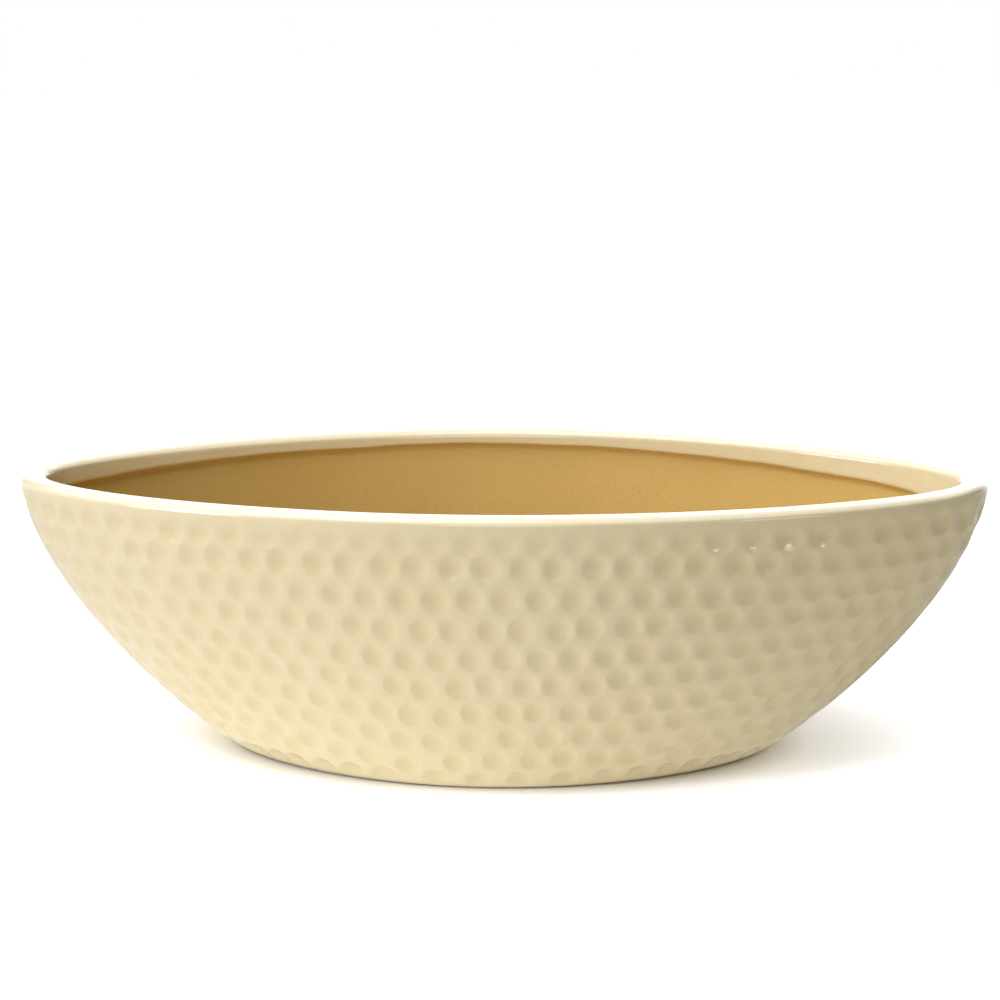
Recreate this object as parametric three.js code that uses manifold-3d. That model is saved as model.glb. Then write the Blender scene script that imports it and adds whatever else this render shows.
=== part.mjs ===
// Oval bonsai pot with its two drain screens and their wire clips.
//
// Millimetres, +Z up, X along the pot's length. The origin is the middle of the foot, on the surface that the
// pot stands on. The pot is one fired shell: foot ring, flared wall, flat-topped lip and level inner floor,
// pierced by two drain holes and four small tie-wire holes. A square mesh screen lies over each drain hole,
// and a bent wire clip on the screen sends two legs down into the hole.

import * as THREE from 'three';
import { mergeVertices } from 'three/addons/utils/BufferGeometryUtils.js';
import Module from 'manifold-3d';

// ---- The pot's outside -------------------------------------------------------------------------------------

const potLength = 305;
const potWidth = 155;
const potHeight = 87.5; // to the top of the lip, half way along
const lipTaper = 0.19; // how far the lip's oval is drawn in towards its ends: 0 is a true ellipse
const lipSag = 2.1; // how much lower the lip lies at its two ends than half way along
const footLength = 171;
const footWidth = 108;
const footTaper = 0.12;
const flareTop = 1.7; // how soon the flare of the wall straightens towards the lip
const flareFoot = 1.1; // how fast the wall leaves the foot
const sagStart = 0.35; // share of the height below which the wall has no sag

// ---- Lip, wall, floor and foot -----------------------------------------------------------------------------

const lipWidth = 8.5;
const lipEdge = 2.4; // radius of the lip's two rounded edges
const lipDepth = 6.5; // height of the straight band inside the lip
const lipStep = 2; // height over which the lip thins down to the wall
const wallThickness = 7.2;
const floorThickness = 8;
const floorFillet = 10; // radius between the inner floor and the wall
const footRecess = 3; // how far the underside is hollowed within the foot ring
const footRingWidth = 9;
const footEdge = 1.5; // radius of the foot's outer edge

// ---- Holes -------------------------------------------------------------------------------------------------

const drainHole = 20; // diameter
const drainSpacing = 84; // between the two drain holes
const wireHole = 5; // diameter

// ---- Screens and clips -------------------------------------------------------------------------------------

const meshPitch = 4;
const meshStrand = 1.2;
const meshThickness = 1.6;
const screenOverlap = 7; // least width of screen that lies on the floor around its hole
const clipWire = 1.6; // diameter
const wingRadius = 4; // of each wing of a clip
const legLift = 1; // how far a clip's legs stop above the underside of the floor
const gap = 0.3; // between pieces that rest on each other

// ---- Fineness ----------------------------------------------------------------------------------------------

const aroundPot = 72;
const wallRings = 8;
const aroundDrain = 32;
const aroundWireHole = 16;
const aroundClipWire = 8;
const clipSteps = 52;

// ---- Places that follow from the sizes ---------------------------------------------------------------------

const floorTop = footRecess + floorThickness;
const screenBottom = floorTop + gap;
const screenTop = screenBottom + meshThickness;
const clipHeight = screenTop + gap + clipWire / 2;
const cellsAcross = 2 * Math.ceil((drainHole / 2 + screenOverlap) / meshPitch - 0.5) + 1;
const screenSide = cellsAcross * meshPitch + meshStrand;
const legReach = meshPitch * Math.floor((drainHole / 2 - clipWire / 2 - gap) / meshPitch);
const drainPlaces = [-drainSpacing / 2, drainSpacing / 2];

// ---- Solids ------------------------------------------------------------------------------------------------

const wasm = await Module();
wasm.setup();

function solidOf(geometry) {
  const bare = geometry.clone();
  bare.deleteAttribute('normal');
  bare.deleteAttribute('uv');
  const shared = mergeVertices(bare, 1e-4);
  const vertProperties = new Float32Array(shared.attributes.position.array);
  const triVerts = new Uint32Array(shared.index.array);
  return new wasm.Manifold(new wasm.Mesh({ numProp: 3, vertProperties, triVerts }));
}

function geometryOf(solid) {
  const mesh = solid.getMesh();
  const geometry = new THREE.BufferGeometry();
  geometry.setAttribute('position', new THREE.BufferAttribute(mesh.vertProperties, 3));
  geometry.setIndex(new THREE.BufferAttribute(mesh.triVerts, 1));
  geometry.computeVertexNormals();
  return geometry;
}

// A closed surface through rings of points, capped at both ends by a point on the axis. Going from the first
// ring to the last, the outside of the surface is on the right.
function loft(rings, firstTip, lastTip) {
  const count = rings[0].length;
  const positions = [firstTip, ...rings.flat(), lastTip].flatMap((point) => point.toArray());
  const last = rings.length * count + 1;
  const at = (ring, step) => 1 + ring * count + (step % count);
  const faces = [];
  for (let i = 0; i < count; i += 1) {
    faces.push(0, at(0, i + 1), at(0, i));
    for (let ring = 0; ring + 1 < rings.length; ring += 1) {
      faces.push(at(ring, i), at(ring, i + 1), at(ring + 1, i + 1));
      faces.push(at(ring, i), at(ring + 1, i + 1), at(ring + 1, i));
    }
    faces.push(at(rings.length - 1, i), at(rings.length - 1, i + 1), last);
  }
  const geometry = new THREE.BufferGeometry();
  geometry.setAttribute('position', new THREE.Float32BufferAttribute(positions, 3));
  geometry.setIndex(faces);
  return geometry;
}

// ---- Pot body ----------------------------------------------------------------------------------------------

// The oval at one height: its half length, its half width and its taper.
function ovalAt(z) {
  const t = THREE.MathUtils.clamp(z / potHeight, 0, 1);
  const flare = (1 - (1 - t) ** flareTop) ** (1 / flareFoot);
  return {
    a: THREE.MathUtils.lerp(footLength, potLength, flare) / 2,
    b: THREE.MathUtils.lerp(footWidth, potWidth, flare) / 2,
    taper: THREE.MathUtils.lerp(footTaper, lipTaper, flare),
  };
}

// x = a cos, y = b sin (1 - taper cos²)
function ovalPoint({ a, b, taper }, angle) {
  const cos = Math.cos(angle);
  const sin = Math.sin(angle);
  return new THREE.Vector2(a * cos, b * sin * (1 - taper * cos * cos));
}

// The oval's outward normal, from the derivative of ovalPoint.
function ovalNormal({ a, b, taper }, angle) {
  const cos = Math.cos(angle);
  const sin = Math.sin(angle);
  const across = b * cos * (1 - taper * cos * cos + 2 * taper * sin * sin);
  return new THREE.Vector2(across, a * sin).normalize();
}

// How far the wall leans out per millimetre of height, square to the oval.
function lean(z, angle) {
  const step = 0.5;
  const above = ovalPoint(ovalAt(z + step), angle);
  const below = ovalPoint(ovalAt(z - step), angle);
  return above.sub(below).dot(ovalNormal(ovalAt(z), angle)) / (2 * step);
}

// The lip and the upper wall sag towards the pot's two ends.
function sagAt(x, z) {
  const share = Math.max(0, z / potHeight - sagStart) / (1 - sagStart);
  return lipSag * (share * x / (potLength / 2)) ** 2;
}

// A ring of the shell at height z. It lies inside the outer oval by inset, measured square to the oval, and
// shrink shortens both half axes as well. inset is a length, or a function of the angle.
function ringAt(z, inset = 0, shrink = 0) {
  const outer = ovalAt(z);
  const oval = { a: outer.a - shrink, b: outer.b - shrink, taper: outer.taper };
  return Array.from({ length: aroundPot }, (_, i) => {
    const angle = (2 * Math.PI * i) / aroundPot;
    const depth = typeof inset === 'function' ? inset(angle) : inset;
    const point = ovalPoint(oval, angle).addScaledVector(ovalNormal(oval, angle), -depth);
    return new THREE.Vector3(point.x, point.y, z - sagAt(point.x, z));
  });
}

// The wall keeps its thickness square to its own slope, so its level depth grows with its lean.
const wallRing = (z, shrink = 0) => ringAt(z, (angle) => wallThickness * Math.hypot(1, lean(z, angle)), shrink);

// Steps of a quarter turn, as the cosine and the sine at each step.
function quarterTurn(steps) {
  return Array.from({ length: steps + 1 }, (_, i) => {
    const angle = ((Math.PI / 2) * i) / steps;
    return { cos: Math.cos(angle), sin: Math.sin(angle) };
  });
}

// Evenly spaced values from one to another, without the two ends.
const between = (from, to, count) =>
  Array.from({ length: count }, (_, i) => from + ((to - from) * (i + 1)) / (count + 1));

function potShell() {
  const lipFoot = potHeight - lipEdge;
  const bandFoot = potHeight - lipDepth;
  const wallTop = bandFoot - lipStep;
  const filletTop = floorTop + floorFillet;
  const outside = [
    ringAt(footRecess, footRingWidth + footRecess / 2),
    ringAt(0, footRingWidth),
    ...quarterTurn(3).map(({ cos, sin }) => ringAt(footEdge * (1 - cos), footEdge * (1 - sin))),
    ...between(footEdge, lipFoot, wallRings).map((z) => ringAt(z)),
    ...quarterTurn(3).map(({ cos, sin }) => ringAt(lipFoot + lipEdge * sin, lipEdge * (1 - cos))),
  ];
  const inside = [
    ...quarterTurn(3).map(({ cos, sin }) => ringAt(lipFoot + lipEdge * cos, lipWidth - lipEdge * (1 - sin))),
    ringAt(bandFoot, lipWidth),
    wallRing(wallTop),
    ...between(wallTop, filletTop, wallRings).map((z) => wallRing(z)),
    ...quarterTurn(4).map(({ cos, sin }) => wallRing(filletTop - floorFillet * sin, floorFillet * (1 - cos))),
  ];
  const underCentre = new THREE.Vector3(0, 0, footRecess);
  const floorCentre = new THREE.Vector3(0, 0, floorTop);
  return loft([...outside, ...inside], underCentre, floorCentre);
}

// A drill that passes through the floor from below the pot.
function drill(diameter, around, x, y) {
  const depth = 2 * floorTop;
  const cylinder = new THREE.CylinderGeometry(diameter / 2, diameter / 2, depth, around);
  cylinder.rotateX(Math.PI / 2);
  cylinder.translate(x, y, floorTop / 2);
  return solidOf(cylinder);
}

// The tie-wire holes stand on both sides of the pot's middle, half way from the screens to the foot ring.
function wireHolePlaces() {
  const x = drainSpacing / 4;
  const ringInside = ovalAt(0).b - footRingWidth - footRecess / 2;
  const y = (screenSide / 2 + ringInside) / 2;
  return [[x, y], [-x, y], [x, -y], [-x, -y]];
}

function potBody() {
  let pot = solidOf(potShell());
  for (const x of drainPlaces) {
    pot = pot.subtract(drill(drainHole, aroundDrain, x, 0));
  }
  for (const [x, y] of wireHolePlaces()) {
    pot = pot.subtract(drill(wireHole, aroundWireHole, x, y));
  }
  return geometryOf(pot);
}

// ---- Drain screen ------------------------------------------------------------------------------------------

// A box standing on the screen's underside, with slack left above and below it where it is to cut.
function screenBox(x, y, side, slack = 0) {
  const box = new THREE.BoxGeometry(side, side, meshThickness + 2 * slack);
  box.translate(x, y, screenBottom + meshThickness / 2);
  return solidOf(box);
}

// A square of moulded mesh with an odd number of cells each way, so that one cell lies on the hole's middle.
function drainScreen() {
  let screen = screenBox(0, 0, screenSide);
  const reach = (cellsAcross - 1) / 2;
  for (let column = -reach; column <= reach; column += 1) {
    for (let row = -reach; row <= reach; row += 1) {
      const cell = screenBox(column * meshPitch, row * meshPitch, meshPitch - meshStrand, 1);
      screen = screen.subtract(cell);
    }
  }
  return geometryOf(screen);
}

// ---- Screen clip -------------------------------------------------------------------------------------------

// Half of the wire's centre line, from the end of one leg to the middle of the clip. The leg rises through a cell
// of the mesh and turns outwards in a quarter bend half as wide as the cell, which clears the strand beside it.
// The wing swings round until it points at the middle, and the bridge runs straight there.
function halfClip() {
  const bend = (meshPitch - meshStrand) / 2;
  const bendX = -legReach - bend;
  const wing = new THREE.Vector2(bendX, wingRadius);
  const legEnd = footRecess + legLift;
  const legTop = clipHeight - bend;
  const leg = between(legEnd, legTop, 3).map((z) => new THREE.Vector3(-legReach, 0, z));
  const turn = quarterTurn(3).map(
    ({ cos, sin }) => new THREE.Vector3(bendX + bend * cos, 0, legTop + bend * sin),
  );
  const start = -Math.PI / 2;
  const facingMiddle = wing.clone().negate().angle() - 2 * Math.PI;
  const end = facingMiddle + Math.acos(wingRadius / wing.length()) - 2 * Math.PI;
  const swing = between(start, end, 9).concat(end).map((angle) => {
    const x = wing.x + wingRadius * Math.cos(angle);
    const y = wing.y + wingRadius * Math.sin(angle);
    return new THREE.Vector3(x, y, clipHeight);
  });
  const bridge = swing[swing.length - 1].clone().lerp(new THREE.Vector3(0, 0, clipHeight), 0.5);
  return [new THREE.Vector3(-legReach, 0, legEnd), ...leg, ...turn, ...swing, bridge];
}

// The other half of the wire is the same turned half way round the hole's axis.
function screenClip() {
  const half = halfClip();
  const otherHalf = half.map((point) => new THREE.Vector3(-point.x, -point.y, point.z)).reverse();
  const middle = new THREE.Vector3(0, 0, clipHeight);
  const path = new THREE.CatmullRomCurve3([...half, middle, ...otherHalf], false, 'centripetal');
  const corners = Array.from({ length: aroundClipWire }, (_, i) => {
    const angle = (2 * Math.PI * i) / aroundClipWire;
    return new THREE.Vector2(Math.cos(angle), Math.sin(angle)).multiplyScalar(clipWire / 2);
  });
  return new THREE.ExtrudeGeometry(new THREE.Shape(corners), { steps: clipSteps, extrudePath: path });
}

// ---- Materials and assembly --------------------------------------------------------------------------------

const creamGlaze = () => new THREE.MeshStandardMaterial({ color: 0xe8dab6, roughness: 0.22, metalness: 0 });
const blackPlastic = () => new THREE.MeshStandardMaterial({ color: 0x2a2c2a, roughness: 0.6, metalness: 0 });
const bronzeWire = () => new THREE.MeshStandardMaterial({ color: 0x7a4e30, roughness: 0.4, metalness: 1 });

const bonsaiPot = new THREE.Group();

function add(name, geometry, material, x = 0) {
  const mesh = new THREE.Mesh(geometry, material);
  mesh.name = name;
  mesh.position.x = x;
  bonsaiPot.add(mesh);
}

add('pot_body', potBody(), creamGlaze());
['left', 'right'].forEach((side, i) => {
  add(`drain_screen_${side}`, drainScreen(), blackPlastic(), drainPlaces[i]);
  add(`screen_clip_${side}`, screenClip(), bronzeWire(), drainPlaces[i]);
});

export default bonsaiPot;
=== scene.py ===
"""Looks of an oval bonsai pot: dimpled cream glaze over buff clay, two drain screens and their wire clips.

Shapes are worked out in millimetres, in the CAD model's frame, and put into meshes in metres.
"""

import math

import bmesh
import bpy
import numpy as np
from mathutils import Matrix, Vector
from mathutils.geometry import tessellate_polygon


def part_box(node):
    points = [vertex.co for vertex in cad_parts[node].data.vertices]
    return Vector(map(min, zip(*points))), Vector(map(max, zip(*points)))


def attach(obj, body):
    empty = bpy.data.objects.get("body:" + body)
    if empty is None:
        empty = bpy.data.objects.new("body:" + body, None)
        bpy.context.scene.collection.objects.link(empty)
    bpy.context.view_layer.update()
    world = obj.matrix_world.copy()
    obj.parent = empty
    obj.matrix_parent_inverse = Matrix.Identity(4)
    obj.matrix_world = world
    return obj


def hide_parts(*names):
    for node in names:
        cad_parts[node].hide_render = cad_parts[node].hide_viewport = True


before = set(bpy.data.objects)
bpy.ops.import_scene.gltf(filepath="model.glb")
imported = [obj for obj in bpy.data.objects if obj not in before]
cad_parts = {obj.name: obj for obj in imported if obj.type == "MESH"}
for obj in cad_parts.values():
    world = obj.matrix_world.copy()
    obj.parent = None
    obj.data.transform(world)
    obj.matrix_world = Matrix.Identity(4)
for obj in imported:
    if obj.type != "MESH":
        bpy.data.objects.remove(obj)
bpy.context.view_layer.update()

MM = 0.001
TURN = 2 * math.pi

# ---- Sizes, as the CAD model has them --------------------------------------------------------------------

POT_LENGTH = 305.0
POT_WIDTH = 155.0
POT_HEIGHT = 87.5
LIP_TAPER = 0.19
LIP_SAG = 2.1
FOOT_LENGTH = 171.0
FOOT_WIDTH = 108.0
FOOT_TAPER = 0.12
FLARE_TOP = 1.7
FLARE_FOOT = 1.1
SAG_START = 0.35

LIP_WIDTH = 8.5
LIP_EDGE = 2.4
WALL_THICKNESS = 7.2
FLOOR_TOP = 11.0
FLOOR_FILLET = 10.0
FOOT_RECESS = 3.0
FOOT_RING_WIDTH = 9.0
FOOT_EDGE = 1.5

DRAIN_HOLE = 20.0
WIRE_HOLE = 5.0
MESH_PITCH = 4.0
MESH_STRAND = 1.2
CELLS_ACROSS = 9
LEG_REACH = 8.0
CLIP_WIRE = 1.6
WING_RADIUS = 4.0

# ---- Finish that the CAD model doesn't have --------------------------------------------------------------

DRAIN_HOLE_EDGE = 0.7  # radius of the rounded rims
WIRE_HOLE_EDGE = 0.4
RING_EDGE = 0.5        # radius of the foot ring's inner edge
GLAZE_COAT = 0.35      # how far the glaze's end stands proud of the clay
COAT_FALL = 3.2        # depth over which the clay below it comes back to its true place
TOAST_AND_SHADE_DEPTH = 3.0      # how quickly the darker clay below the glaze's end fades down: toasting, partly painted shade under the glaze's edge
RIDGE_GLAZE = 0.35     # relative glaze depth on flat glaze and ridges

# ---- Fineness --------------------------------------------------------------------------------------------

COLUMNS = 632          # around the glazed outside and the lip
WALL_ROWS = 88         # up the dimpled outside
CLAY_ROWS = 26         # down the bare clay inside

# ---- The pot's shape -------------------------------------------------------------------------------------


def oval_at(z):
    """Half length, half width and taper of the outer oval at height z.

    With t = z / height, all three go from foot to lip by (1 - (1 - t)^1.7)^(1 / 1.1).
    """
    t = np.clip(z / POT_HEIGHT, 0.0, 1.0)
    flare = (1 - (1 - t) ** FLARE_TOP) ** (1 / FLARE_FOOT)
    half_length = (FOOT_LENGTH + (POT_LENGTH - FOOT_LENGTH) * flare) / 2
    half_width = (FOOT_WIDTH + (POT_WIDTH - FOOT_WIDTH) * flare) / 2
    taper = FOOT_TAPER + (LIP_TAPER - FOOT_TAPER) * flare
    return half_length, half_width, taper


def oval_normal(angle, half_length, half_width, taper):
    """Outward normal of x = a cos, y = b sin (1 - taper cos²), square to the derivative by the angle."""
    cos = np.cos(angle)
    sin = np.sin(angle)
    across = half_width * cos * (1 - taper * cos ** 2 + 2 * taper * sin ** 2)
    along = half_length * sin
    size = np.hypot(across, along)
    return across / size, along / size


def ring(angle, z, inset=0.0, shrink=0.0):
    """Points of the pot at the given angles and heights.

    x = a cos, y = b sin (1 - taper cos²), moved inwards by inset along the oval's normal, with both half axes
    shortened by shrink. The ends of the lip sag: z falls by sag * (share * x / half length)².
    """
    angle, z = np.broadcast_arrays(np.asarray(angle, float), np.asarray(z, float))
    half_length, half_width, taper = oval_at(z)
    half_length = half_length - shrink
    half_width = half_width - shrink
    cos = np.cos(angle)
    sin = np.sin(angle)
    normal_x, normal_y = oval_normal(angle, half_length, half_width, taper)
    x = half_length * cos - inset * normal_x
    y = half_width * sin * (1 - taper * cos ** 2) - inset * normal_y
    share = np.maximum(0, z / POT_HEIGHT - SAG_START) / (1 - SAG_START)
    return np.stack([x, y, z - LIP_SAG * (share * x / (POT_LENGTH / 2)) ** 2], -1)


def wall_inset(angle, z):
    """Level depth of the wall: its thickness times the square root of 1 + lean².

    The lean is the outward move of the wall over a small step in height, divided by that step.
    """
    step = 0.5
    angle, z = np.broadcast_arrays(np.asarray(angle, float), np.asarray(z, float))
    move = (ring(angle, z + step) - ring(angle, z - step))[..., :2]
    normal_x, normal_y = oval_normal(angle, *oval_at(z))
    lean = (move[..., 0] * normal_x + move[..., 1] * normal_y) / (2 * step)
    return WALL_THICKNESS * np.hypot(1, lean)


def even_angles(count, z):
    """Angles evenly spaced in arc length along the outer oval at height z."""
    dense = np.linspace(0, TURN, 8193)
    path = ring(dense, z)
    length = np.append(0, np.cumsum(np.linalg.norm(np.diff(path, axis=0), axis=1)))
    return np.interp(np.arange(count) * length[-1] / count, length, dense)


def smooth_step(low, high, value):
    """3 t² - 2 t³, with t going from 0 at low to 1 at high."""
    t = np.clip((value - low) / (high - low), 0, 1)
    return t * t * (3 - 2 * t)


def quarter_turn(steps):
    """Cosines and sines of evenly spaced angles from 0 to 90 degrees."""
    angle = np.linspace(0, math.pi / 2, steps + 1)
    return list(zip(np.cos(angle), np.sin(angle)))


def slow_wave(angle, seed, waves):
    """A smooth closed curve between about -1 and 1.

    It is the sum of drawn strength * cos(count * angle + drawn phase), over the root of the number of waves.
    """
    draw = np.random.default_rng(seed)
    total = np.zeros_like(angle)
    for count in waves:
        total += np.cos(count * angle + draw.uniform(0, TURN)) * draw.uniform(0.6, 1.0)
    return total / math.sqrt(len(waves))


# ---- Dimples ---------------------------------------------------------------------------------------------

DIMPLE_PITCH_LIP = 10.6
DIMPLE_PITCH_FOOT = 9.9
PITCH_CHANGE = (35, 80)  # heights between which the pitch goes from the foot's to the lip's
TOP_ROWS = (6.7, 14.7)   # from the top of the lip to the middles of the first two rows, down the slope
LAST_ROW = 115           # no row lies this deep down the slope
ROW_END = 0.3            # of the pitch, by which a row stops short of the two ends
END_DROP = 1.6           # how much lower the rows lie at the two ends
DIMPLE_DEPTH = 0.94
DIMPLE_SHARE = 0.41      # of the pitch, as the radius
DIMPLE_FOOT = 3.0        # lowest height of a dimple's middle
SETTLE_STEPS = 160
SETTLE_REACH = 0.42      # pitch over distance, above which two middles push each other
SETTLE_PUSH = 0.06       # of the pitch, as the strength of that push
LONGEST_STEP = 1.2
JOG = 0.30               # size of the first random jogs
RIM_REACH = (2.6, 1.5)   # how far inside and outside a rim the wall's points are drawn towards it
RIM_PULL = 0.62
RIM_CRISPNESS = 24.0
FADE_TOP = (3.4, 11.5)   # depths below the lip between which the dimples reach their full depth
FADE_TOP_ENDS = 4.5      # how much sooner they reach it at the ends
FADE_FOOT = (0.8, 3.5)   # heights between which they do so above the foot


def pitch_at(z):
    """Spacing of the dimples at height z, going smoothly from the foot's to the lip's."""
    return DIMPLE_PITCH_FOOT + (DIMPLE_PITCH_LIP - DIMPLE_PITCH_FOOT) * smooth_step(*PITCH_CHANGE, z)


def towards_ends(angle):
    """0 along the front and back, 1 at the two ends, by a smooth step of the cosine from 0.3 to 0.8."""
    return smooth_step(0.3, 0.8, np.abs(np.cos(angle)))


def height_down_slope(angle, depth):
    """Height of the point of the outside that lies depth below the lip's top, measured down the slope.

    Towards the ends it lies END_DROP deeper, because the pressed rows start lower there.
    """
    depth = depth + END_DROP * towards_ends(angle)
    z = np.linspace(POT_HEIGHT, 0, 401)[:, None]
    path = ring(angle[None, :], z)
    steps = np.linalg.norm(np.diff(path, axis=0), axis=2)
    length = np.concatenate([np.zeros((1, angle.size)), np.cumsum(steps, axis=0)])
    place = np.minimum((length < depth).sum(axis=0), len(z) - 1)
    return np.where(depth < length[-1], z[place, 0], -1.0)


def dimple_rows():
    """Middles of the dimples before they settle: rows half a pitch out of step with each other.

    Each row follows the lip at one distance down the slope. It is spaced by the pitch of its height, from the
    middle of the front and from the middle of the back towards the two ends.
    """
    probe = np.linspace(0, TURN, 721)
    angles = []
    heights = []
    held = []
    depth = TOP_ROWS[0]
    row = 0
    while depth < LAST_ROW:
        z = height_down_slope(probe, depth)
        pitch = float(pitch_at(np.median(z[z > 0]))) if (z > 0).any() else DIMPLE_PITCH_FOOT
        path = ring(probe, np.maximum(z, 0))
        length = np.append(0, np.cumsum(np.linalg.norm(np.diff(path, axis=0), axis=1)))
        quarter = length[-1] / 4
        reach = quarter - ROW_END * pitch
        number = int(reach / pitch) + 1
        steps = (np.arange(-number, number + 1) + 0.5 * (row % 2)) * pitch
        steps = steps[np.abs(steps) < reach]
        wanted = np.concatenate([quarter + steps, 3 * quarter + steps])
        angle = np.interp(wanted, length, probe)
        height = height_down_slope(angle, depth)
        keep = height > DIMPLE_FOOT
        angles.append(angle[keep])
        heights.append(height[keep])
        held.append(np.full(keep.sum(), depth if row < len(TOP_ROWS) else np.inf))
        row += 1
        depth = TOP_ROWS[row] if row < len(TOP_ROWS) else depth + pitch * math.sqrt(3) / 2
    return np.concatenate(angles), np.concatenate(heights), np.concatenate(held)


def slide(angle, z, move):
    """Steps of angle and height that carry points of the wall by the given moves, by its two tangents."""
    by_angle = (ring(angle + 1e-4, z) - ring(angle - 1e-4, z)) / 2e-4
    by_height = (ring(angle, z + 0.05) - ring(angle, z - 0.05)) / 0.1
    aa = (by_angle ** 2).sum(-1)
    ah = (by_angle * by_height).sum(-1)
    hh = (by_height ** 2).sum(-1)
    ma = (move * by_angle).sum(-1)
    mh = (move * by_height).sum(-1)
    determinant = aa * hh - ah ** 2
    return (ma * hh - mh * ah) / determinant, (mh * aa - ma * ah) / determinant


def settle_dimples(angle, z, held):
    """Pushes the middles apart until they lie evenly: the push between two is (pitch / distance)^6.

    A shrinking random jog at each step lets the rows fall into step. The middles of the top rows keep the
    depth that they are held at, so that these rows follow the lip.
    """
    draw = np.random.default_rng(41)
    top = np.isfinite(held)
    for step in range(SETTLE_STEPS):
        place = ring(angle, z)
        pitch = pitch_at(z)
        apart = place[:, None, :] - place[None, :, :]
        distance = np.sqrt((apart ** 2).sum(axis=2)) + 1e6 * np.eye(len(z))
        near = 0.5 * (pitch[:, None] + pitch[None, :]) / distance
        push = np.where(near > SETTLE_REACH, np.minimum(near, 2) ** 6, 0) / distance
        move = SETTLE_PUSH * pitch[:, None] * (apart * push[:, :, None]).sum(axis=1)
        size = np.linalg.norm(move, axis=1, keepdims=True)
        move *= np.minimum(1, LONGEST_STEP / np.maximum(size, 1e-9))
        calm = max(0.0, 1 - step / (0.7 * SETTLE_STEPS))
        move += draw.normal(0, JOG * calm ** 1.5, move.shape)
        turned, lift = slide(angle, z, move)
        angle = angle + turned
        z = np.clip(z + lift, DIMPLE_FOOT, POT_HEIGHT)
        z[top] = height_down_slope(angle[top], held[top])
    return angle, z


def gather_at_rims(points, middles, radius):
    """Moves that draw the wall's points towards the dimples' rims, so that the rims come out crisp.

    A point u outside a rim, or -u inside it, moves by -pull * u (1 - (u / reach)²)².
    """
    move = np.zeros_like(points)
    for chunk in np.array_split(np.arange(len(points)), 60):
        apart = points[chunk][:, None, :] - middles[None, :, :]
        distance = np.sqrt((apart ** 2).sum(axis=2)) + 1e-9
        outside = distance - radius
        reach = np.where(outside > 0, RIM_REACH[1], RIM_REACH[0])
        share = np.clip(1 - (outside / reach) ** 2, 0, 1) ** 2
        pull = -RIM_PULL * outside * share / distance
        move[chunk] = (apart * pull[:, :, None]).sum(axis=1)
    return move


def dimple_field(points, middles, radius, depth):
    """Depth of the hollows at each point: the sum of soft-edged caps, depth * log(1 + e^(k (1 - q²))) / k.

    q is the distance to a dimple's middle over its radius, and k is the crispness of its rim.
    """
    total = np.zeros(len(points))
    for chunk in np.array_split(np.arange(len(points)), 24):
        near = points[chunk]
        squared = (near ** 2).sum(1)[:, None] + (middles ** 2).sum(1)[None, :] - 2 * near @ middles.T
        q_squared = np.clip(squared / radius ** 2, 0, 4)
        cap = np.logaddexp(0, RIM_CRISPNESS * (1 - q_squared)) / RIM_CRISPNESS
        total[chunk] = (cap * depth).sum(axis=1)
    return total


# ---- Meshes ----------------------------------------------------------------------------------------------


def put_mesh(name, points, faces, materials, slots=None, shades=None):
    """A smooth-shaded object at the origin, from points in millimetres and lists of point numbers."""
    mesh = bpy.data.meshes.new(name)
    mesh.from_pydata((np.asarray(points) * MM).tolist(), [], faces)
    for material in materials:
        mesh.materials.append(material)
    if slots is not None:
        mesh.polygons.foreach_set("material_index", np.asarray(slots, np.int32))
    for label, values in (shades or {}).items():
        attribute = mesh.attributes.new(label, "FLOAT", "POINT")
        attribute.data.foreach_set("value", np.asarray(values, np.float32))
    mesh.polygons.foreach_set("use_smooth", np.ones(len(mesh.polygons), bool))
    mesh.update()
    mesh.validate()
    piece = bpy.data.objects.new(name, mesh)
    bpy.context.scene.collection.objects.link(piece)
    return piece


def quads_between(lower, upper):
    """Faces from one closed row of point numbers to the next row, with the outside on the right."""
    return np.stack([lower, np.roll(lower, -1), np.roll(upper, -1), upper], 1)


def flat_faces(points, loops, facing):
    """Triangles of a level surface between an outer loop and its holes, facing up (1) or down (-1)."""
    outlines = [[Vector((points[i][0], points[i][1], 0)) for i in loop] for loop in loops]
    numbers = np.concatenate(loops)
    faces = numbers[np.array(tessellate_polygon(outlines))]
    start, second, third = points[faces.T][..., :2]
    side = np.cross(second - start, third - start)
    turned_away = side * facing <= 0
    faces[turned_away] = faces[turned_away][:, [0, 2, 1]]
    return faces


class PotMesh:
    """Rows of points and the faces between them, with a slot for each face and shades at each point."""

    def __init__(self):
        self.points = []
        self.thick = []
        self.toast_and_shade = []
        self.faces = []
        self.slots = []
        self.count = 0

    def row(self, points, thick=RIDGE_GLAZE, toast_and_shade=0.0):
        """Adds points, with their glaze depth and their toasting and painted shade, and gives their numbers.
        """
        numbers = np.arange(self.count, self.count + len(points))
        self.count += len(points)
        self.points.append(points)
        self.thick.append(np.broadcast_to(thick, len(points)))
        self.toast_and_shade.append(np.broadcast_to(toast_and_shade, len(points)))
        return numbers

    def add(self, faces, slot):
        self.faces += faces.tolist()
        self.slots += [slot] * len(faces)

    def skin(self, rows, slot):
        """Joins each row to the next."""
        for lower, upper in zip(rows[:-1], rows[1:]):
            self.add(quads_between(lower, upper), slot)


GLAZE = 0
CLAY = 1


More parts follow.
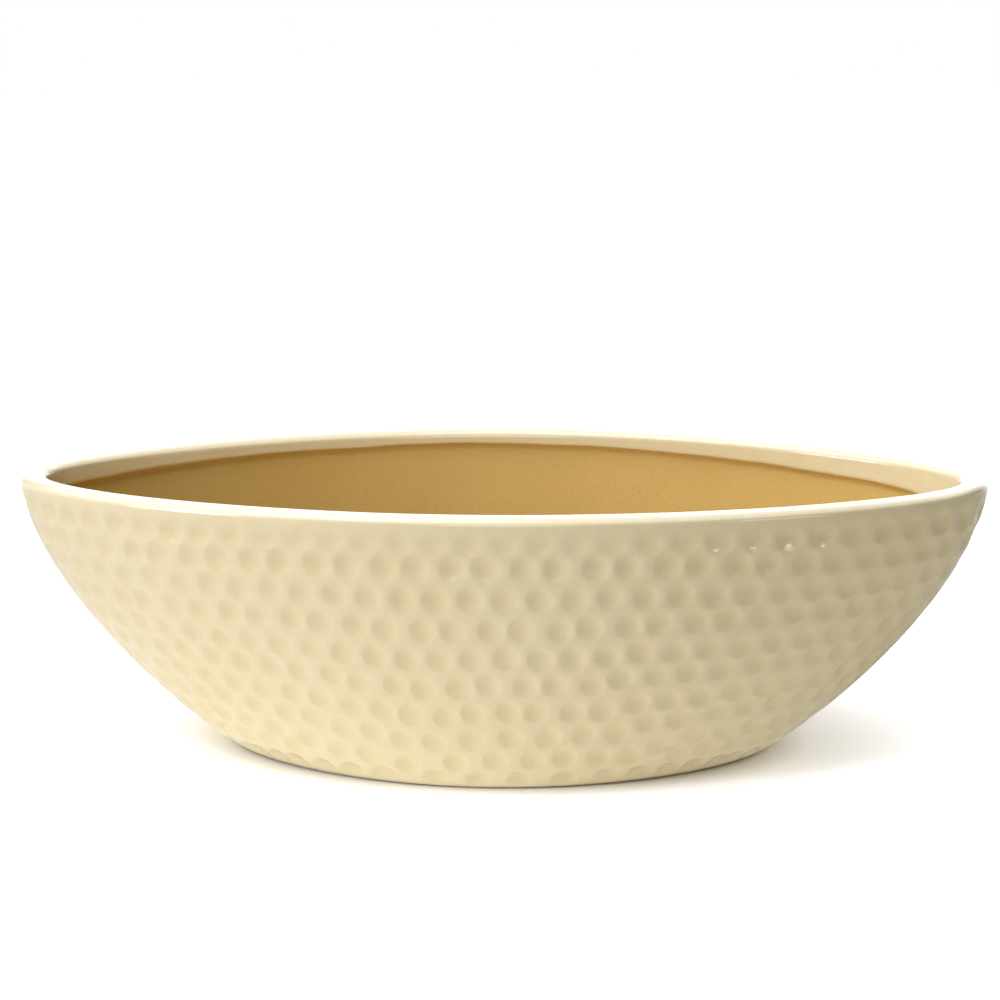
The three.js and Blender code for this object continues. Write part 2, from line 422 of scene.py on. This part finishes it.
def hole_rows(pot, place, radius, count, edge):
    """Rows down a round hole, from the floor's top to its underside, with both rims rounded by quarter turns.

    Gives the top and the bottom row, which lie a little outside the rims.
    """
    border = 0.8
    angle = np.arange(count) * TURN / count
    profile = [(radius + edge + border, FLOOR_TOP)]
    profile += [(radius + edge * (1 - sin), FLOOR_TOP - edge * (1 - cos)) for cos, sin in quarter_turn(3)]
    profile += [(radius + edge * (1 - cos), FOOT_RECESS + edge * (1 - sin)) for cos, sin in quarter_turn(3)]
    profile += [(radius + edge + border, FOOT_RECESS)]
    rows = []
    for r, z in profile:
        points = np.stack([place[0] + r * np.cos(angle), place[1] + r * np.sin(angle), np.full(count, z)], 1)
        rows.append(pot.row(points))
    for upper, lower in zip(rows[:-1], rows[1:]):
        pot.add(quads_between(lower, upper)[:, ::-1], CLAY)
    return rows[0], rows[-1]


def outside_wall(angle):
    """Points of the wall's rows, evenly spaced down the slope and pressed in by the dimples, and their depth.

    The depth is relative to a full dimple's.
    """
    z = np.linspace(FOOT_EDGE, POT_HEIGHT - LIP_EDGE, 1201)
    ends = ring(np.array([[0.0], [math.pi / 2]]), z[None, :])
    length = np.linalg.norm(np.diff(ends, axis=1), axis=2).mean(axis=0)
    length = np.append(0, np.cumsum(length))
    heights = np.interp(np.linspace(0, length[-1], WALL_ROWS), length, z)
    grid = ring(angle[None, :], heights[:, None])

    first_angle, first_z, held = dimple_rows()
    middle_angle, middle_z = settle_dimples(first_angle, first_z, held)
    middles = ring(middle_angle, middle_z)

    # The dimples differ a little in width and depth.
    draw = np.random.default_rng(29)
    radius = DIMPLE_SHARE * pitch_at(middle_z) * draw.normal(1, 0.025, len(middle_z)).clip(0.93, 1.07)
    depth = DIMPLE_DEPTH * draw.normal(1, 0.1, len(middle_z)).clip(0.75, 1.2)
    ends = towards_ends(angle)[None, :]
    fade = smooth_step(FADE_TOP[0], FADE_TOP[1] - FADE_TOP_ENDS * ends, POT_HEIGHT - heights[:, None])
    fade = fade * smooth_step(*FADE_FOOT, heights[:, None])
    move = gather_at_rims(grid.reshape(-1, 3), middles, radius).reshape(grid.shape) * fade[:, :, None]
    turned, lift = slide(angle[None, :], heights[:, None], move)
    grid = ring(angle[None, :] + turned, heights[:, None] + lift)
    hollow = dimple_field(grid.reshape(-1, 3), middles, radius, depth).reshape(grid.shape[:2]) * fade

    around = np.roll(grid, -1, axis=1) - np.roll(grid, 1, axis=1)
    upward = np.gradient(grid, axis=0)
    normal = np.cross(around, upward)
    normal /= np.linalg.norm(normal, axis=2, keepdims=True)
    return grid - normal * hollow[:, :, None], hollow / DIMPLE_DEPTH


def glaze_line(angle):
    """Height of the edge where the glaze ends inside the lip, in a slow wave that dips towards both ends.

    Its depth below the lip is 6.7 + 1.45 cos(angle) + 2.2 cos(2 angle), with small uneven waves.
    """
    waves = slow_wave(angle, 5, (7, 11, 16)) * 0.22 + slow_wave(angle, 6, (27, 41)) * 0.08
    return POT_HEIGHT - (6.7 + 1.45 * np.cos(angle) + 2.2 * np.cos(2 * angle) + waves)


def inner_inset(angle, z, line):
    """Depth of the inner surface: the lip's width down to the glaze line, then smoothly to the wall's."""
    step_foot = 2.2
    step_top = 0.3
    wall = wall_inset(angle, z)
    return wall + (LIP_WIDTH - wall) * smooth_step(line - step_foot, line + step_top, z)


def build_pot(glaze, clay):
    """The pot in one closed skin, made of rows that follow the oval.

    The rows go from the underside over the foot ring, up the outside, over the lip and down to the floor.
    """
    pot = PotMesh()
    angle = even_angles(COLUMNS, POT_HEIGHT * 0.62)
    lip_foot = POT_HEIGHT - LIP_EDGE

    # Underside and foot ring, bare clay up to the foot's outer edge.
    inner_edge = FOOT_RING_WIDTH + FOOT_RECESS / 2
    foot = [pot.row(ring(angle, FOOT_RECESS, inner_edge + 1.2))]
    foot += [pot.row(ring(angle, FOOT_RECESS, inner_edge))]
    foot += [pot.row(ring(angle, FOOT_RECESS / 2, inner_edge - FOOT_RECESS / 4))]
    foot += [pot.row(ring(angle, RING_EDGE * (1 - sin), FOOT_RING_WIDTH - RING_EDGE * (1 - cos)))
             for cos, sin in quarter_turn(2)]
    foot += [pot.row(ring(angle, 0.0, FOOT_EDGE + 2.0))]
    foot += [pot.row(ring(angle, FOOT_EDGE * (1 - cos), FOOT_EDGE * (1 - sin)))
             for cos, sin in quarter_turn(4)[:3]]
    pot.skin(foot, CLAY)

    # Dimpled outside.
    wall, hollow = outside_wall(angle)
    outside = [foot[-1]]
    outside += [pot.row(ring(angle, FOOT_EDGE * (1 - cos), FOOT_EDGE * (1 - sin)), 0.2)
                for cos, sin in quarter_turn(4)[3:4]]
    pooling = RIDGE_GLAZE + (1 - RIDGE_GLAZE) * hollow
    outside += [pot.row(points, thick) for points, thick in zip(wall, pooling)]
    pot.skin(outside, GLAZE)

    # Lip: outer quarter turn, flat top, inner quarter turn. The glaze is thin on both edges.
    uneven = 0.06 * (1 + slow_wave(angle, 17, (2, 3, 5, 9)).clip(-1, 1))
    lip = [outside[-1]]
    for cos, sin in quarter_turn(7)[1:]:
        points = ring(angle, lip_foot + LIP_EDGE * sin, LIP_EDGE * (1 - cos))
        points[:, 2] -= uneven * sin
        lip.append(pot.row(points, 0.35 - 0.35 * math.sin(2 * math.asin(min(1.0, sin)))))
    for share in (0.25, 0.5, 0.75):
        points = ring(angle, POT_HEIGHT, LIP_EDGE + (LIP_WIDTH - 2 * LIP_EDGE) * share)
        points[:, 2] -= uneven
        lip.append(pot.row(points, 0.3))
    for cos, sin in quarter_turn(7):
        points = ring(angle, lip_foot + LIP_EDGE * cos, LIP_WIDTH - LIP_EDGE * (1 - sin))
        points[:, 2] -= uneven * cos
        lip.append(pot.row(points, 0.35 - 0.3 * math.sin(2 * math.asin(min(1.0, sin)))))
    line = glaze_line(angle)
    for share in np.linspace(0, 1, 8)[1:]:
        z = lip_foot + (line - lip_foot) * share
        lip.append(pot.row(ring(angle, z, inner_inset(angle, z, line)), 0.35 + 0.6 * share ** 3))
    pot.skin(lip, GLAZE)

    # Rounded end of the glaze, a third of a millimetre proud of the clay.
    edge = [lip[-1]]
    edge_drop = 0.32
    for drop, share in ((0.12, 0.25), (0.24, 0.6), (edge_drop, 1.0)):
        z = line - drop
        edge.append(pot.row(ring(angle, z, inner_inset(angle, z, line) - GLAZE_COAT * share), 0.5))
    pot.skin(edge, GLAZE)

    # Bare clay inside: half as many columns, joined to the fine row by three triangles a step.
    half = angle[::2]
    half_line = line[::2] - edge_drop
    fillet_top = FLOOR_TOP + FLOOR_FILLET
    below = half_line - COAT_FALL
    levels = [half_line - depth for depth in np.linspace(0, COAT_FALL, 7)[1:]]
    levels += [below + (fillet_top - below) * share for share in np.linspace(0, 1, CLAY_ROWS)[1:]]
    inside = []
    for z in levels:
        recess = GLAZE_COAT * smooth_step(COAT_FALL, 0, half_line - z)
        # Darker clay just below the glaze's end: partly toasting, partly painted shade under the glaze's
        # overhanging edge, fading down over a few millimetres.
        toast_and_shade = np.exp((z - half_line) / TOAST_AND_SHADE_DEPTH)
        inside.append(pot.row(ring(half, z, inner_inset(half, z, line[::2]) - recess), 0.3, toast_and_shade))
    even = edge[-1][::2]
    odd = edge[-1][1::2]
    next_even = np.roll(even, -1)
    coarse = inside[0]
    next_coarse = np.roll(coarse, -1)
    pot.add(np.stack([even, odd, coarse], 1), CLAY)
    pot.add(np.stack([odd, next_coarse, coarse], 1), CLAY)
    pot.add(np.stack([odd, next_even, next_coarse], 1), CLAY)
    for cos, sin in quarter_turn(9)[1:]:
        z = fillet_top - FLOOR_FILLET * sin
        inside.append(pot.row(ring(half, z, wall_inset(half, z), FLOOR_FILLET * (1 - cos))))
    inside.append(pot.row(ring(half, FLOOR_TOP, wall_inset(half, FLOOR_TOP), FLOOR_FILLET + 1.5)))
    pot.skin(inside, CLAY)

    # Drain holes under the screens, and tie-wire holes between the screens and the foot ring.
    rims = []
    for node in ("drain_screen_left", "drain_screen_right"):
        low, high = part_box(node)
        place = ((low.x + high.x) / 2 / MM, 0.0)
        rims.append(hole_rows(pot, place, DRAIN_HOLE / 2, 56, DRAIN_HOLE_EDGE))
    spacing = (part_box("drain_screen_right")[0].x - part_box("drain_screen_left")[0].x) / MM
    screen_half = (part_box("drain_screen_left")[1].y) / MM
    wire_y = (screen_half + FOOT_WIDTH / 2 - inner_edge) / 2
    for x in (spacing / 4, -spacing / 4):
        for y in (wire_y, -wire_y):
            rims.append(hole_rows(pot, (x, y), WIRE_HOLE / 2, 24, WIRE_HOLE_EDGE))
    points = np.concatenate(pot.points)
    pot.add(flat_faces(points, [inside[-1]] + [top for top, _ in rims], 1), CLAY)
    pot.add(flat_faces(points, [foot[0]] + [bottom for _, bottom in rims], -1), CLAY)
    shades = {"glaze_depth": np.concatenate(pot.thick), "toast_and_shade": np.concatenate(pot.toast_and_shade)}
    return put_mesh("pot", points, pot.faces, [glaze, clay], pot.slots, shades)


# ---- Drain screens ---------------------------------------------------------------------------------------


def build_screen(name, node, material):
    """Moulded mesh: one rounded cell repeated.

    Around each cell, a point goes from the square of the strands' middle lines to a rounded hole by sin(u),
    and from the top to the underside by cos(u), with u from 0 to 180 degrees.
    """
    low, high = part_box(node)
    centre = (np.array(low) + np.array(high)) / 2 / MM
    half_height = (high.z - low.z) / 2 / MM
    per_side = 4
    along = (np.arange(per_side) / per_side * 2 - 1) * MESH_PITCH / 2
    side = np.full(per_side, MESH_PITCH / 2)
    square = np.concatenate([
        np.stack([side, along], 1), np.stack([-along, side], 1),
        np.stack([-side, -along], 1), np.stack([along, -side], 1)])
    hole_half = (MESH_PITCH - MESH_STRAND) / 2
    hole = square * hole_half / (MESH_PITCH / 2)
    size = np.linalg.norm(hole, axis=1, keepdims=True)
    corner_reach = 1.22
    hole = hole * np.minimum(1, corner_reach * hole_half / size)
    turns = np.linspace(0, math.pi, 7)
    blend = np.sin(turns)[:, None, None]
    flat = square[None] * (1 - blend) + hole[None] * blend
    lift = np.broadcast_to((half_height * np.cos(turns))[:, None, None], flat[..., :1].shape)
    cell = np.concatenate([flat, lift], 2)

    reach = (CELLS_ACROSS - 1) / 2
    places = (np.arange(CELLS_ACROSS) - reach) * MESH_PITCH
    offset = np.stack(np.meshgrid(places, places, [0.0], indexing="ij"), -1).reshape(-1, 1, 1, 3)
    cells = cell[None] + offset
    number = np.arange(cells[..., 0].size).reshape(cells.shape[:3])
    following = np.roll(number, -1, 2)
    faces = np.stack([number[:, :-1], following[:, :-1], following[:, 1:], number[:, 1:]], -1).reshape(-1, 4)

    # The outer half of the border strands, round the whole screen, with rounded corners.
    edge = CELLS_ACROSS * MESH_PITCH / 2
    count = CELLS_ACROSS * per_side
    along = (np.arange(count) / count * 2 - 1) * edge
    side = np.full(count, edge)
    border = np.concatenate([
        np.stack([side, along], 1), np.stack([-along, side], 1),
        np.stack([-side, -along], 1), np.stack([along, -side], 1)])
    outward = np.where(np.abs(np.abs(border) - edge) < 1e-6, np.sign(border), 0.0)
    outward /= np.linalg.norm(outward, axis=1, keepdims=True)
    rim = border[None] + outward[None] * (MESH_STRAND / 2) * blend
    rim_lift = np.broadcast_to((half_height * np.cos(turns))[:, None, None], rim[..., :1].shape)
    rim = np.concatenate([rim, rim_lift], 2)
    rim_number = number.size + np.arange(rim[..., 0].size).reshape(rim.shape[:2])
    following = np.roll(rim_number, -1, 1)
    rim_faces = np.stack([rim_number[:-1], rim_number[1:], following[1:], following[:-1]], -1).reshape(-1, 4)
    points = np.concatenate([cells.reshape(-1, 3), rim.reshape(-1, 3)]) + centre
    piece = put_mesh(name, points, np.concatenate([faces, rim_faces]).tolist(), [material])
    merge_doubles(piece)
    return piece


def merge_doubles(piece):
    """Merges points that lie within a hundredth of a millimetre, and turns every face outwards."""
    work = bmesh.new()
    work.from_mesh(piece.data)
    bmesh.ops.remove_doubles(work, verts=work.verts, dist=0.00001)
    bmesh.ops.recalc_face_normals(work, faces=work.faces)
    work.to_mesh(piece.data)
    work.free()
    piece.data.update()


# ---- Screen clips ----------------------------------------------------------------------------------------


def clip_path(leg_foot, height):
    """Middle line of a clip's wire: leg, quarter bend, round wing, straight bridge, then the other half.

    The wing is an arc that ends where its tangent meets the middle of the clip.
    """
    bend = (MESH_PITCH - MESH_STRAND) / 2
    wing_x = -LEG_REACH - bend
    leg_top = height - bend
    leg = np.stack([np.full(24, -LEG_REACH), np.zeros(24), np.linspace(leg_foot, leg_top, 25)[:-1]], 1)
    turn = np.linspace(0, math.pi / 2, 9)[:-1]
    bent = np.stack([wing_x + bend * np.cos(turn), np.zeros(8), leg_top + bend * np.sin(turn)], 1)
    span = math.hypot(wing_x, WING_RADIUS)
    facing = math.atan2(-WING_RADIUS, -wing_x)
    end = facing + math.acos(WING_RADIUS / span) - TURN
    swing = np.linspace(-math.pi / 2, end, 57)
    wing = np.stack([wing_x + WING_RADIUS * np.cos(swing), WING_RADIUS + WING_RADIUS * np.sin(swing),
                     np.full(57, height)], 1)
    bridge = wing[-1] + (np.array([0, 0, height]) - wing[-1]) * np.linspace(0, 1, 13)[1:-1, None]
    half = np.concatenate([leg, bent, wing, bridge])
    other = (half * np.array([-1, -1, 1]))[::-1]
    return np.concatenate([half, [[0, 0, height]], other])


def build_clip(name, node, material):
    """Round wire swept along the clip's path, with its two cut ends rounded over by quarter turns."""
    low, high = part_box(node)
    centre_x = (low.x + high.x) / 2 / MM
    radius = CLIP_WIRE / 2
    path = clip_path(low.z / MM, high.z / MM - radius)
    tangent = np.gradient(path, axis=0)
    tangent /= np.linalg.norm(tangent, axis=1, keepdims=True)
    level = np.cross([0, 0, 1], tangent)
    size = np.linalg.norm(level, axis=1, keepdims=True)
    level = np.where(size > 0.3, level / np.maximum(size, 1e-9), [0, -1, 0])
    level -= tangent * (level * tangent).sum(1, keepdims=True)
    level /= np.linalg.norm(level, axis=1, keepdims=True)
    upright = np.cross(tangent, level)
    around = 14
    turn = np.arange(around) * TURN / around
    circle = (np.cos(turn)[None, :, None] * level[:, None] + np.sin(turn)[None, :, None] * upright[:, None])
    tube = path[:, None] + radius * circle
    rounding = 0.35
    caps = quarter_turn(3)[1:]
    start = [path[0] + rounding * (1 - sin) * tangent[0] + (radius - rounding * (1 - cos)) * circle[0]
             for cos, sin in caps]
    finish = [path[-1] - rounding * (1 - sin) * tangent[-1] + (radius - rounding * (1 - cos)) * circle[-1]
              for cos, sin in caps]
    keep_from = int(np.searchsorted(path[:, 2], path[0, 2] + rounding))
    body = tube[keep_from:len(tube) - keep_from]
    rows = np.concatenate([start[::-1], body, finish])
    tips = np.stack([path[0], path[-1]])
    points = np.concatenate([rows.reshape(-1, 3), tips]) + [centre_x, 0, 0]
    number = np.arange(rows[..., 0].size).reshape(rows.shape[:2])
    following = np.roll(number, -1, 1)
    faces = np.stack([number[:-1], number[1:], following[1:], following[:-1]], -1).reshape(-1, 4).tolist()
    tip = np.full(around, number.size)
    faces += np.stack([tip, number[0], following[0]], 1).tolist()
    faces += np.stack([tip + 1, following[-1], number[-1]], 1).tolist()
    piece = put_mesh(name, points, faces, [material])
    merge_doubles(piece)
    return piece


# ---- Materials -------------------------------------------------------------------------------------------


def new_material(name):
    """A material with its node tree and its shader."""
    material = bpy.data.materials.new(name)
    material.use_nodes = True
    tree = material.node_tree
    return material, tree, tree.nodes["Principled BSDF"]


def add_node(tree, kind, inputs=None, **settings):
    """A node with its settings, and its inputs given as values or as sockets to link from."""
    node = tree.nodes.new(kind)
    for label, value in settings.items():
        setattr(node, label, value)
    for label, value in (inputs or {}).items():
        if isinstance(value, bpy.types.NodeSocket):
            tree.links.new(value, node.inputs[label])
        else:
            node.inputs[label].default_value = value
    return node


def noise(tree, scale, detail=3.0, roughness=0.55):
    """Cloudy noise in the object's own space, in scale clouds to the metre."""
    place = add_node(tree, "ShaderNodeTexCoord").outputs["Object"]
    return add_node(tree, "ShaderNodeTexNoise", {
        "Vector": place, "Scale": scale, "Detail": detail, "Roughness": roughness}).outputs["Fac"]


def spread(tree, value, low, high, to_low, to_high):
    """Stretches a value from one range to another and holds it there."""
    return add_node(tree, "ShaderNodeMapRange", {
        "Value": value, "From Min": low, "From Max": high, "To Min": to_low, "To Max": to_high},
        clamp=True).outputs["Result"]


def mix_colour(tree, share, first, second):
    """A colour between the first and the second; each of the three may be a value or a socket."""
    node = tree.nodes.new("ShaderNodeMix")
    node.data_type = "RGBA"
    for socket, value in ((node.inputs[0], share), (node.inputs[6], first), (node.inputs[7], second)):
        if isinstance(value, bpy.types.NodeSocket):
            tree.links.new(value, socket)
        else:
            socket.default_value = value
    return node.outputs[2]


def shade_of(tree, label):
    """The value that the mesh carries at each point under this label."""
    return add_node(tree, "ShaderNodeAttribute", attribute_name=label).outputs["Fac"]


def cream_glaze():
    """Cream glaze: paler where it runs thin on edges and ridges, deeper where it pools in the dimples."""
    material, tree, shader = new_material("cream glaze")
    thin = (0.87, 0.78, 0.56, 1)
    usual = (0.80, 0.685, 0.42, 1)
    pooled = (0.775, 0.655, 0.385, 1)
    depth = shade_of(tree, "glaze_depth")
    colour = mix_colour(tree, spread(tree, depth, 0.0, 0.4, 0, 1), thin, usual)
    colour = mix_colour(tree, spread(tree, depth, 0.4, 1.0, 0, 1), colour, pooled)
    drift = spread(tree, noise(tree, 16, 2.0), 0.3, 0.7, 0, 0.5)
    colour = mix_colour(tree, drift, colour, (0.81, 0.71, 0.46, 1))
    mottle = spread(tree, noise(tree, 260, 4.0), 0.3, 0.7, 0.0, 0.16)
    colour = mix_colour(tree, mottle, colour, (0.66, 0.53, 0.29, 1))
    tree.links.new(colour, shader.inputs["Base Color"])
    gloss = spread(tree, noise(tree, 90, 3.0), 0.3, 0.7, 0.13, 0.19)
    tree.links.new(gloss, shader.inputs["Roughness"])
    peel = noise(tree, 520, 2.0)
    bump = add_node(tree, "ShaderNodeBump", {"Strength": 0.25, "Distance": 0.00006, "Height": peel})
    tree.links.new(bump.outputs["Normal"], shader.inputs["Normal"])
    shader.inputs["IOR"].default_value = 1.5
    return material


def buff_clay():
    """Unglazed buff clay: matt, finely grained and speckled, darker where the glaze ends: toasting, and
    painted shade under the glaze's edge.
    """
    material, tree, shader = new_material("buff clay")
    base = (0.66, 0.45, 0.14, 1)
    colour = mix_colour(tree, spread(tree, noise(tree, 22, 3.0), 0.3, 0.7, 0, 1), base, (0.72, 0.50, 0.17, 1))
    grain = spread(tree, noise(tree, 1400, 4.0, 0.7), 0.35, 0.65, 0, 0.55)
    colour = mix_colour(tree, grain, colour, (0.55, 0.37, 0.11, 1))
    specks = spread(tree, noise(tree, 620, 1.0), 0.70, 0.78, 0, 0.25)
    colour = mix_colour(tree, specks, colour, (0.34, 0.21, 0.09, 1))
    # Toasting and painted shade: the clay darkens just below the glaze's overhanging end.
    toast_and_shade = spread(tree, shade_of(tree, "toast_and_shade"), 0, 1, 0, 0.3)
    colour = mix_colour(tree, toast_and_shade, colour, (0.42, 0.24, 0.06, 1))
    tree.links.new(colour, shader.inputs["Base Color"])
    tree.links.new(spread(tree, noise(tree, 300, 3.0), 0.3, 0.7, 0.78, 0.92), shader.inputs["Roughness"])
    shader.inputs["Specular IOR Level"].default_value = 0.25
    grit = noise(tree, 1700, 5.0, 0.7)
    bump = add_node(tree, "ShaderNodeBump", {"Strength": 0.5, "Distance": 0.00015, "Height": grit})
    tree.links.new(bump.outputs["Normal"], shader.inputs["Normal"])
    return material


def screen_plastic():
    """Charcoal moulded plastic with a faint matt grain."""
    material, tree, shader = new_material("screen plastic")
    tone = spread(tree, noise(tree, 180, 4.0), 0.3, 0.7, 0, 1)
    colour = mix_colour(tree, tone, (0.018, 0.020, 0.018, 1), (0.034, 0.036, 0.033, 1))
    tree.links.new(colour, shader.inputs["Base Color"])
    tree.links.new(spread(tree, noise(tree, 500, 3.0), 0.3, 0.7, 0.42, 0.6), shader.inputs["Roughness"])
    bump = add_node(tree, "ShaderNodeBump", {
        "Strength": 0.4, "Distance": 0.00008, "Height": noise(tree, 2200, 3.0)})
    tree.links.new(bump.outputs["Normal"], shader.inputs["Normal"])
    return material


def bronze_wire():
    """Bronze-coloured aluminium wire, drawn smooth, with slight changes of tone along it."""
    material, tree, shader = new_material("bronze wire")
    tone = spread(tree, noise(tree, 140, 4.0), 0.3, 0.7, 0, 1)
    colour = mix_colour(tree, tone, (0.40, 0.23, 0.115, 1), (0.52, 0.315, 0.165, 1))
    tree.links.new(colour, shader.inputs["Base Color"])
    tree.links.new(spread(tree, noise(tree, 800, 3.0), 0.3, 0.7, 0.28, 0.42), shader.inputs["Roughness"])
    shader.inputs["Metallic"].default_value = 1.0
    bump = add_node(tree, "ShaderNodeBump", {
        "Strength": 0.3, "Distance": 0.00003, "Height": noise(tree, 2600, 2.0)})
    tree.links.new(bump.outputs["Normal"], shader.inputs["Normal"])
    return material


# ---- Pieces ----------------------------------------------------------------------------------------------

pot = build_pot(cream_glaze(), buff_clay())
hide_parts("pot_body")
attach(pot, "pot")

plastic = screen_plastic()
bronze = bronze_wire()
for side in ("left", "right"):
    screen = build_screen(f"screen_{side}", f"drain_screen_{side}", plastic)
    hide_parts(f"drain_screen_{side}")
    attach(screen, f"screen_{side}")
    clip = build_clip(f"clip_{side}", f"screen_clip_{side}", bronze)
    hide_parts(f"screen_clip_{side}")
    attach(clip, f"clip_{side}")

# ---- Studio ----------------------------------------------------------------------------------------------


def studio_floor():
    """A plain pale floor, seen nearly white with a faint shadow. The camera also sees painted light on it,
    growing with distance from the foot, which fills in the shadow away from the pot. It sheds light round the
    pot.
    """
    half = 6.0
    corners = [(-half, -half, 0), (half, -half, 0), (half, half, 0), (-half, half, 0)]
    mesh = bpy.data.meshes.new("studio floor")
    mesh.from_pydata(corners, [], [(0, 1, 2, 3)])
    floor = bpy.data.objects.new("studio floor", mesh)
    bpy.context.scene.collection.objects.link(floor)
    material, tree, shader = new_material("studio paper")
    shader.inputs["Roughness"].default_value = 1.0
    shader.inputs["Specular IOR Level"].default_value = 0.0
    seen = add_node(tree, "ShaderNodeLightPath").outputs["Is Camera Ray"]
    colour = mix_colour(tree, seen, (0.54, 0.54, 0.53, 1), (0.97, 0.97, 0.97, 1))
    tree.links.new(colour, shader.inputs["Base Color"])
    place = add_node(tree, "ShaderNodeTexCoord").outputs["Object"]
    per_foot = (2 / (FOOT_LENGTH * MM), 2 / (FOOT_WIDTH * MM), 0)
    oval = add_node(tree, "ShaderNodeVectorMath", {0: place, 1: per_foot}, operation="MULTIPLY").outputs[0]
    away = add_node(tree, "ShaderNodeVectorMath", {0: oval}, operation="LENGTH").outputs["Value"]
    # Painted light, seen only by the camera: a glow that grows from the foot outwards and fills in the
    # floor's shadow, so that the shadow shows only close to the pot.
    painted_light_beside = spread(tree, away, 1.0, 1.16, 0.0, 0.38)
    painted_light_beyond = spread(tree, away, 1.16, 1.7, 0.0, 0.55)
    shown = add_node(tree, "ShaderNodeMath", {0: painted_light_beside, 1: painted_light_beyond}, operation="ADD").outputs[0]
    level = add_node(tree, "ShaderNodeSeparateXYZ", {"Vector": place})
    across = level.outputs["X"]
    leftward = spread(tree, across, -0.02, 0.15, 1.0, 0.50)
    close = spread(tree, away, 1.0, 5.0, 0.62, 0.0)
    shed = add_node(tree, "ShaderNodeMath", {0: leftward, 1: close}, operation="MULTIPLY").outputs[0]
    clear = spread(tree, away, 0.98, 1.05, 0.0, 1.0)
    shed = add_node(tree, "ShaderNodeMath", {0: shed, 1: clear}, operation="MULTIPLY").outputs[0]
    mirrored = add_node(tree, "ShaderNodeLightPath").outputs["Is Glossy Ray"]
    behind = spread(tree, level.outputs["Y"], 0.1, 0.6, 0, 1.4)
    backlit = add_node(tree, "ShaderNodeMath", {0: mirrored, 1: behind, 2: shed}, operation="MULTIPLY_ADD")
    shed = backlit.outputs[0]
    # The camera sees the painted light; other rays get the light that the floor sheds.
    glow = add_node(tree, "ShaderNodeMix", {0: seen, 2: shed, 3: shown})
    tint = mix_colour(tree, seen, (1.0, 0.98, 0.955, 1), (1, 1, 1, 1))
    tree.links.new(tint, shader.inputs["Emission Color"])
    tree.links.new(glow.outputs[0], shader.inputs["Emission Strength"])
    mesh.materials.append(material)


def studio_world():
    """White where it is seen. In reflections it is bright behind the pot and overhead, and dim elsewhere."""
    world = bpy.data.worlds.new("studio")
    bpy.context.scene.world = world
    world.use_nodes = True
    tree = world.node_tree
    background = tree.nodes["Background"]
    path = add_node(tree, "ShaderNodeLightPath")
    direction = add_node(tree, "ShaderNodeTexCoord").outputs["Generated"]
    backwards = (0.1, 0.99, 0)
    towards = add_node(tree, "ShaderNodeVectorMath", {0: direction, 1: backwards}, operation="DOT_PRODUCT")
    mirrored = spread(tree, towards.outputs["Value"], 0.7, 0.96, 0.16, 2.6)
    shed = spread(tree, towards.outputs["Value"], -0.2, 0.75, 0.08, 0.22)
    upward = add_node(tree, "ShaderNodeSeparateXYZ", {"Vector": direction}).outputs["Z"]
    overhead = spread(tree, upward, 0.42, 0.60, 0.0, 3.4)
    mirrored = add_node(tree, "ShaderNodeMath", {0: mirrored, 1: overhead}, operation="ADD").outputs[0]
    is_glossy = path.outputs["Is Glossy Ray"]
    is_seen = path.outputs["Is Camera Ray"]
    given = add_node(tree, "ShaderNodeMix", {0: is_glossy, 2: shed, 3: mirrored}).outputs[0]
    shown = add_node(tree, "ShaderNodeMix", {0: is_seen, 2: given, 3: 1.0}).outputs[0]
    background.inputs["Color"].default_value = (1, 1, 1, 1)
    tree.links.new(shown, background.inputs["Strength"])


def soft_light(name, azimuth, elevation, distance, width, height, power, colour=(1, 1, 1)):
    """A rectangular light aimed at the pot; azimuth 0 is straight in front of it, and grows to the right."""
    data = bpy.data.lights.new(name, "AREA")
    data.shape = "RECTANGLE"
    data.size = width
    data.size_y = height
    data.energy = power
    data.color = colour
    light = bpy.data.objects.new(name, data)
    turn = math.radians(azimuth)
    rise = math.radians(elevation)
    aim = Vector((0, 0, 0.05))
    away = Vector((math.sin(turn) * math.cos(rise), -math.cos(turn) * math.cos(rise), math.sin(rise)))
    light.location = aim + away * distance
    light.rotation_euler = away.to_track_quat("Z", "Y").to_euler()
    bpy.context.scene.collection.objects.link(light)


def camera():
    """86.4 mm lens, five half-lengths of the pot away, a little to the right, looking slightly down."""
    turn = math.radians(5.76)
    rise = math.radians(11.53)
    roll = math.radians(-0.573)
    back = Vector((math.sin(turn) * math.cos(rise), -math.cos(turn) * math.cos(rise), math.sin(rise)))
    level = Vector((math.cos(turn), math.sin(turn), 0))
    upright = back.cross(level)
    right = level * math.cos(roll) + upright * math.sin(roll)
    up = upright * math.cos(roll) - level * math.sin(roll)
    aim = Vector((0, 0, POT_HEIGHT / 2 * MM)) + right * 0.00085 + up * 0.0328
    data = bpy.data.cameras.new("camera")
    data.lens = 86.4
    data.sensor_width = 36.0
    view = bpy.data.objects.new("camera", data)
    turned = Matrix((right, up, back)).transposed().to_4x4()
    turned.translation = aim + back * 0.763
    view.matrix_world = turned
    bpy.context.scene.collection.objects.link(view)
    bpy.context.scene.camera = view


studio_floor()
studio_world()
soft_light("key", -60, 15, 1.5, 0.5, 0.5, 8.6, (0.95, 0.985, 1.14))
soft_light("front", 0, 12, 1.8, 0.8, 0.5, 5.0, (1.0, 0.94, 0.86))
soft_light("top", -62, 68, 1.3, 1.0, 0.9, 15, (1.0, 0.985, 0.96))
soft_light("glint", 48, 2, 1.3, 0.35, 0.12, 1.1)
camera()
bpy.context.scene.view_settings.view_transform = "Standard"
bpy.context.scene.view_settings.look = "None"
